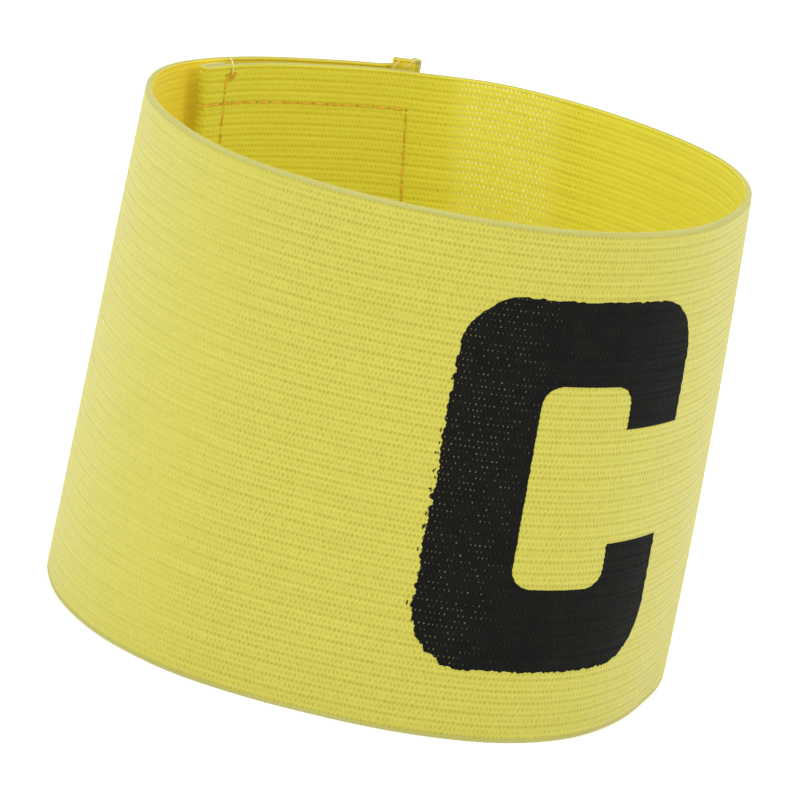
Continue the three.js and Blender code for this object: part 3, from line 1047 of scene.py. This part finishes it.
# The print is thin along its left edge, a little less so low down, and thinner in some patches. A pit
# there stays bare by its own chance.
letter_left = (letter_middle * mean_radius + letter_width / 2) / mm
thin_from, thin_to = letter_left - 20, letter_left - 2
low_print, high_print = 12, 45
thin_patches = stretched_noise(tree, coordinates.outputs[0], along=0.16, up=0.3)
covered = ranged(tree, place.outputs["X"], thin_from, thin_to, 1.2, -0.1)
covered = number(tree, "SUBTRACT", covered, number(tree, "MULTIPLY", thin_patches, 0.5))
low_down = ranged(tree, place.outputs["Y"], low_print, high_print, 0.25, 0.0)
covered = number(tree, "ADD", covered, low_down)
missed = ranged(tree, weave.outputs["Chance"], covered, number(tree, "ADD", covered, 0.9))
bare = number(tree, "MULTIPLY", missed, ranged(tree, weave.outputs["Pits"], 0.35, 0.95))

bare_yarn = (0.135, 0.122, 0.05, 1)
clouds = stretched_noise(tree, coordinates.outputs[0], along=0.25, up=0.25, detail=3)
cloudy = ranged(tree, clouds, 0.3, 0.7)
black = blended(tree, cloudy, (0.0035, 0.0037, 0.0035, 1), (0.006, 0.0062, 0.0048, 1))
for output, share, tint in (
    ("Streaks", 0.45, (0.01, 0.0105, 0.0085, 1)),
    ("Grooves", 0.45, (0.002, 0.002, 0.002, 1)),
    ("Pits", 0.75, (0.021, 0.021, 0.018, 1)),
):
    black = blended(tree, number(tree, "MULTIPLY", weave.outputs[output], share), black, tint)
tree.links.new(blended(tree, bare, black, bare_yarn), shader.inputs["Base Color"])
rough = ranged(tree, weave.outputs["Streaks"], 0.2, 1.2, 0.62, 0.85)
tree.links.new(rough, shader.inputs["Roughness"])
add_bumps(tree, weave.outputs["Relief"], strength=0.7, distance=0.12 * mm)
shader.inputs["Specular IOR Level"].default_value = 0.07
printed_letter.data.materials.append(ink_finish)
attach(printed_letter, "root")
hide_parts("captain_letter")

# The studio: a plain white floor under soft light from above, from both sides and from behind, with a
# white world round it.
bpy.ops.object.select_all(action="DESELECT")
bpy.ops.mesh.primitive_plane_add(size=8)
floor = bpy.context.object
floor.name = "floor"
floor_finish = bpy.data.materials.new("white_floor")
floor_finish.use_nodes = True
floor_shader = floor_finish.node_tree.nodes["Principled BSDF"]
floor_shader.inputs["Base Color"].default_value = (0.9, 0.9, 0.9, 1)
floor_shader.inputs["Roughness"].default_value = 0.9
floor_shader.inputs["Emission Color"].default_value = (1, 1, 1, 1)
floor_shader.inputs["Emission Strength"].default_value = 0.28
floor.data.materials.append(floor_finish)

world = bpy.data.worlds.new("studio")
world.use_nodes = True
world.node_tree.nodes["Background"].inputs["Color"].default_value = (1, 1, 1, 1)
world.node_tree.nodes["Background"].inputs["Strength"].default_value = 0.9
bpy.context.scene.world = world

aimed_at = Vector((0, 0, webbing_width / 2))


def soft_light(name, place, power, size):
    lamp = bpy.data.lights.new(name, "AREA")
    lamp.energy = power
    lamp.size = size
    holder = bpy.data.objects.new(name, lamp)
    holder.location = place
    holder.rotation_euler = (aimed_at - Vector(place)).to_track_quat("-Z", "Y").to_euler()
    bpy.context.scene.collection.objects.link(holder)


soft_light("overhead", (0.0, 0.2, 1.7), power=12, size=1.6)
soft_light("left_box", (-1.3, -0.9, 0.9), power=6, size=1.0)
soft_light("right_box", (1.3, -0.9, 0.9), power=4.5, size=1.0)
soft_light("back_box", (0.2, 1.5, 1.0), power=4, size=1.2)

# The camera looks down on the band from the front, a little rolled, from about 0.86 m away. Its place is
# fitted to the photo.
pitch = math.radians(15.591)
roll = math.radians(10.699)
camera_distance = 858.67 * mm
camera_rise = 35.741 * mm
camera_shift = -0.487 * mm
look = Vector((0, math.cos(pitch), -math.sin(pitch)))
level_up = Vector((0, math.sin(pitch), math.cos(pitch)))
level_right = Vector((1, 0, 0))
camera_right = level_right * math.cos(roll) + level_up * math.sin(roll)
camera_up = level_up * math.cos(roll) - level_right * math.sin(roll)
camera_data = bpy.data.cameras.new("camera")
camera_data.sensor_width = 36
camera_data.lens = 242.24
camera_data.clip_start = 0.05
camera_data.clip_end = 30
camera = bpy.data.objects.new("camera", camera_data)
bpy.context.scene.collection.objects.link(camera)
stand = loop_middle + camera_shift * level_right + camera_rise * level_up - camera_distance * look
camera.matrix_world = Matrix((
    (camera_right.x, camera_up.x, -look.x, stand.x),
    (camera_right.y, camera_up.y, -look.y, stand.y),
    (camera_right.z, camera_up.z, -look.z, stand.z),
    (0, 0, 0, 1),
))
bpy.context.scene.camera = camera
bpy.context.scene.view_settings.view_transform = "Standard"
